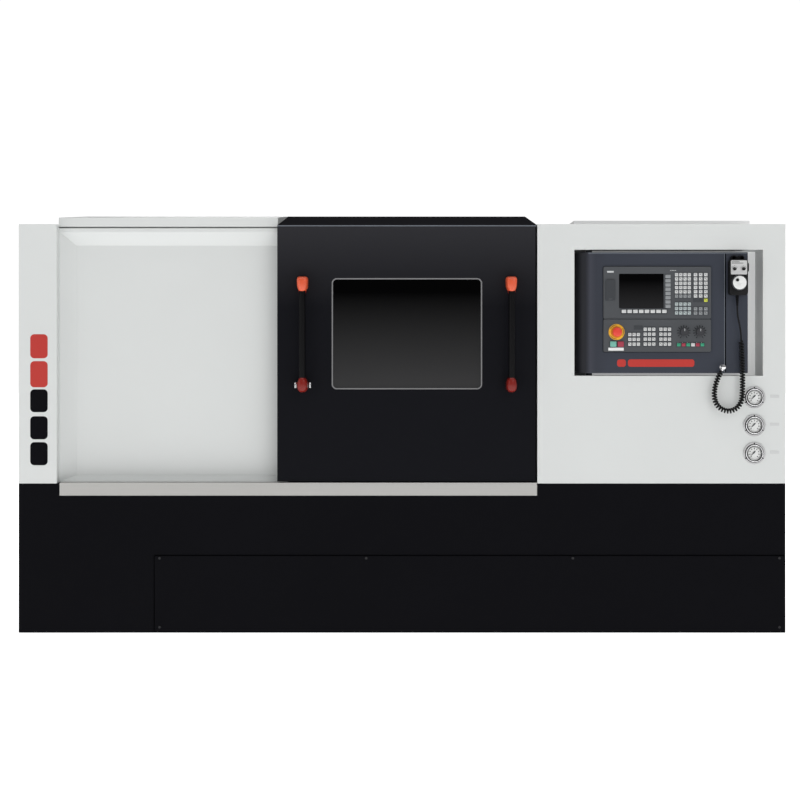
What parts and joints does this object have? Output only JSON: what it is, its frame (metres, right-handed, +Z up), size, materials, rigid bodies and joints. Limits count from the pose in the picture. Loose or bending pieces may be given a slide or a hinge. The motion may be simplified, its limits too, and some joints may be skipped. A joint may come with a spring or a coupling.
{
  "type": "cnc turning lathe",
  "caption": "Enclosed slant-bed CNC turning lathe with a sliding front door, swivelling operator console, hand-held pendant on a curly cord and pressure gauges.",
  "frame": {"origin": "on the floor, in the middle of the machine's footprint", "axes": "+X to the operator's right along the spindle, +Y from the front to the back, +Z up"},
  "size_m": [2.99, 1.706, 1.68],
  "materials": {
    "white_paint": "fine-texture white powder coat",
    "black_paint": "satin black paint",
    "door_paint": "satin black paint on folded sheet",
    "console_paint": "satin blue-grey paint",
    "panel_plastic": "matte grey fascia",
    "key_plastic": "matte key mat",
    "stainless": "brushed stainless sheet",
    "machined_steel": "ground and turned steel",
    "casting": "painted iron casting",
    "glass": "dark laminated safety glass",
    "seal_rubber": "light grey window seal",
    "handle_black": "satin black grip",
    "cap_red": "glossy orange-red moulding",
    "signal_red": "glossy red plastic",
    "signal_green": "glossy green plastic",
    "signal_yellow": "yellow plastic",
    "knob_grey": "matte dark grey knob",
    "dial_white": "printed white gauge dial",
    "key_white": "light grey keycaps",
    "print_red": "red stripes printed on the covers",
    "pendant_black": "textured black housing",
    "chrome": "polished plating",
    "cord_rubber": "black polyurethane sheath",
    "belt_rubber": "black belt",
    "motor_paint": "dark grey motor paint",
    "needle_black": "black gauge needle",
    "zinc": "zinc-plated steel"
  },
  "bodies": {
    "machine": {"slant_bed": "casting", "lower_cabinet": "black_paint", "front_access_panel": "black_paint", "panel_screws": "zinc", "leveling_feet": "zinc", "door_sill": "stainless", "end_covers": "white_paint", "left_front_cover": "white_paint", "right_front_cover": "white_paint", "rear_cover": "white_paint", "chamber_roof": "black_paint", "door_track": "white_paint", "gauge_cases": "chrome", "headstock": "casting", "drive_motors": "motor_paint", "drive_belt": "belt_rubber", "splash_guard": "stainless", "electrical_cabinet": "white_paint"},
    "door": {"door_panel": "door_paint", "window_seal": "seal_rubber", "window_pane": "glass", "handle_bars": "handle_black", "handle_ends": "cap_red"},
    "console": {"console_box": "console_paint", "cnc_panel": "panel_plastic", "machine_panel": "panel_plastic", "panel_keys": "key_plastic", "estop_collar": "signal_yellow", "pendant_holder": "console_paint", "pendant_body": "pendant_black", "cord_gland": "chrome", "cord_lead": "cord_rubber", "cord_coil": "cord_rubber"},
    "estop_button_body": {"estop_button": "signal_red"},
    "start_button_body": {"start_button": "signal_green"},
    "stop_button_body": {"stop_button": "signal_red"},
    "feed_knob_body": {"feed_knob": "knob_grey"},
    "spindle_knob_body": {"spindle_knob": "knob_grey"},
    "pendant_handwheel_body": {"pendant_handwheel": "knob_grey"},
    "axis_knob_body": {"axis_knob": "knob_grey"},
    "step_knob_body": {"step_knob": "knob_grey"},
    "enable_button_body": {"enable_button": "handle_black"},
    "usb_flap_body": {"usb_flap": "panel_plastic"},
    "gauge_needle_1_body": {"gauge_needle_1": "needle_black"},
    "gauge_needle_2_body": {"gauge_needle_2": "needle_black"},
    "gauge_needle_3_body": {"gauge_needle_3": "needle_black"},
    "motor_pulley_body": {"motor_pulley": "machined_steel"},
    "jaw_1_body": {"jaw_1": "machined_steel"},
    "jaw_2_body": {"jaw_2": "machined_steel"},
    "jaw_3_body": {"jaw_3": "machined_steel"},
    "z_screw_body": {"z_screw": "machined_steel"},
    "cross_slide_body": {"cross_slide": "casting"},
    "turret_disc_body": {"turret_disc": "machined_steel"},
    "tailstock_body": {"tailstock": "casting"},
    "quill_body": {"quill": "machined_steel"},
    "main_switch_body": {"main_switch": "signal_red"},
    "spindle_body": {"spindle": "machined_steel", "chuck_body": "machined_steel"},
    "carriage": {"saddle": "casting"}
  },
  "joints": [
    {"name": "door_slide", "type": "slide", "parent": "machine", "child": "door", "axis": [-1, 0, 0], "range_m": [0, 0.83]},
    {"name": "console_swivel", "type": "hinge", "parent": "machine", "child": "console", "pos_m": [0.736, -0.73, 1.25], "axis": [0, 0, -1], "range_deg": [0, 60]},
    {"name": "estop_push", "type": "slide", "parent": "console", "child": "estop_button_body", "axis": [0, 1, 0], "range_m": [0, 0.005]},
    {"name": "start_push", "type": "slide", "parent": "console", "child": "start_button_body", "axis": [0, 1, 0], "range_m": [0, 0.003], "stiffness_N_per_m": 600},
    {"name": "stop_push", "type": "slide", "parent": "console", "child": "stop_button_body", "axis": [0, 1, 0], "range_m": [0, 0.003], "stiffness_N_per_m": 600},
    {"name": "feed_knob_turn", "type": "hinge", "parent": "console", "child": "feed_knob_body", "pos_m": [1.0966, -0.797, 1.1785], "axis": [0, 1, 0], "range_deg": [0, 270]},
    {"name": "spindle_knob_turn", "type": "hinge", "parent": "console", "child": "spindle_knob_body", "pos_m": [1.1588, -0.797, 1.1785], "axis": [0, 1, 0], "range_deg": [0, 240]},
    {"name": "handwheel_spin", "type": "hinge", "parent": "console", "child": "pendant_handwheel_body", "pos_m": [1.3045, -0.829, 1.369], "axis": [0, 1, 0], "continuous": true},
    {"name": "axis_knob_turn", "type": "hinge", "parent": "console", "child": "axis_knob_body", "pos_m": [1.287, -0.829, 1.423], "axis": [0, 1, 0], "range_deg": [0, 180]},
    {"name": "step_knob_turn", "type": "hinge", "parent": "console", "child": "step_knob_body", "pos_m": [1.322, -0.829, 1.423], "axis": [0, 1, 0], "range_deg": [0, 120]},
    {"name": "enable_push", "type": "slide", "parent": "console", "child": "enable_button_body", "axis": [-1, 0, 0], "range_m": [0, 0.0025], "stiffness_N_per_m": 500},
    {"name": "usb_flap_turn", "type": "hinge", "parent": "console", "child": "usb_flap_body", "pos_m": [0.794, -0.7988, 1.342], "axis": [0, 0, -1], "range_deg": [0, 100]},
    {"name": "gauge_needle_1_turn", "type": "hinge", "parent": "machine", "child": "gauge_needle_1_body", "pos_m": [1.373, -0.793, 0.929], "axis": [0, 1, 0], "range_deg": [0, 270]},
    {"name": "gauge_needle_2_turn", "type": "hinge", "parent": "machine", "child": "gauge_needle_2_body", "pos_m": [1.373, -0.793, 0.82], "axis": [0, 1, 0], "range_deg": [0, 270]},
    {"name": "gauge_needle_3_turn", "type": "hinge", "parent": "machine", "child": "gauge_needle_3_body", "pos_m": [1.373, -0.793, 0.711], "axis": [0, 1, 0], "range_deg": [0, 270]},
    {"name": "spindle_spin", "type": "hinge", "parent": "machine", "child": "spindle_body", "pos_m": [-0.4, -0.315, 1.08], "axis": [1, 0, 0], "continuous": true},
    {"name": "motor_pulley_spin", "type": "hinge", "parent": "machine", "child": "motor_pulley_body", "pos_m": [-1.27, 0.345, 0.45], "axis": [1, 0, 0], "continuous": true},
    {"name": "jaw_1_slide", "type": "slide", "parent": "spindle_body", "child": "jaw_1_body", "axis": [0, 0, 1], "range_m": [0, 0.006]},
    {"name": "jaw_2_slide", "type": "slide", "parent": "spindle_body", "child": "jaw_2_body", "axis": [0, -0.866, -0.5], "range_m": [0, 0.006]},
    {"name": "jaw_3_slide", "type": "slide", "parent": "spindle_body", "child": "jaw_3_body", "axis": [0, 0.866, -0.5], "range_m": [0, 0.006]},
    {"name": "z_slide", "type": "slide", "parent": "machine", "child": "carriage", "axis": [1, 0, 0], "range_m": [0, 0.21]},
    {"name": "z_screw_spin", "type": "hinge", "parent": "machine", "child": "z_screw_body", "pos_m": [0.3, -0.06751, 0.93858], "axis": [1, 0, 0], "continuous": true},
    {"name": "x_slide", "type": "slide", "parent": "carriage", "child": "cross_slide_body", "axis": [0, 0.7071, 0.7071], "range_m": [0, 0.18]},
    {"name": "turret_index", "type": "hinge", "parent": "cross_slide_body", "child": "turret_disc_body", "pos_m": [0.07, -0.13822, 1.25678], "axis": [1, 0, 0], "continuous": true},
    {"name": "tailstock_slide", "type": "slide", "parent": "machine", "child": "tailstock_body", "axis": [1, 0, 0], "range_m": [0, 0.07]},
    {"name": "quill_slide", "type": "slide", "parent": "tailstock_body", "child": "quill_body", "axis": [-1, 0, 0], "range_m": [0, 0.1]},
    {"name": "main_switch_turn", "type": "hinge", "parent": "machine", "child": "main_switch_body", "pos_m": [1.115, 0.815, 1.25], "axis": [0, -1, 0], "range_deg": [0, 90]}
  ],
  "couplings": [
    {"joint": "motor_pulley_spin", "follows": "spindle_spin", "ratio": 1.5},
    {"joint": "jaw_2_slide", "follows": "jaw_1_slide", "ratio": 1},
    {"joint": "jaw_3_slide", "follows": "jaw_1_slide", "ratio": 1},
    {"joint": "z_screw_spin", "follows": "z_slide", "rad_per_m": 314.16}
  ]
}
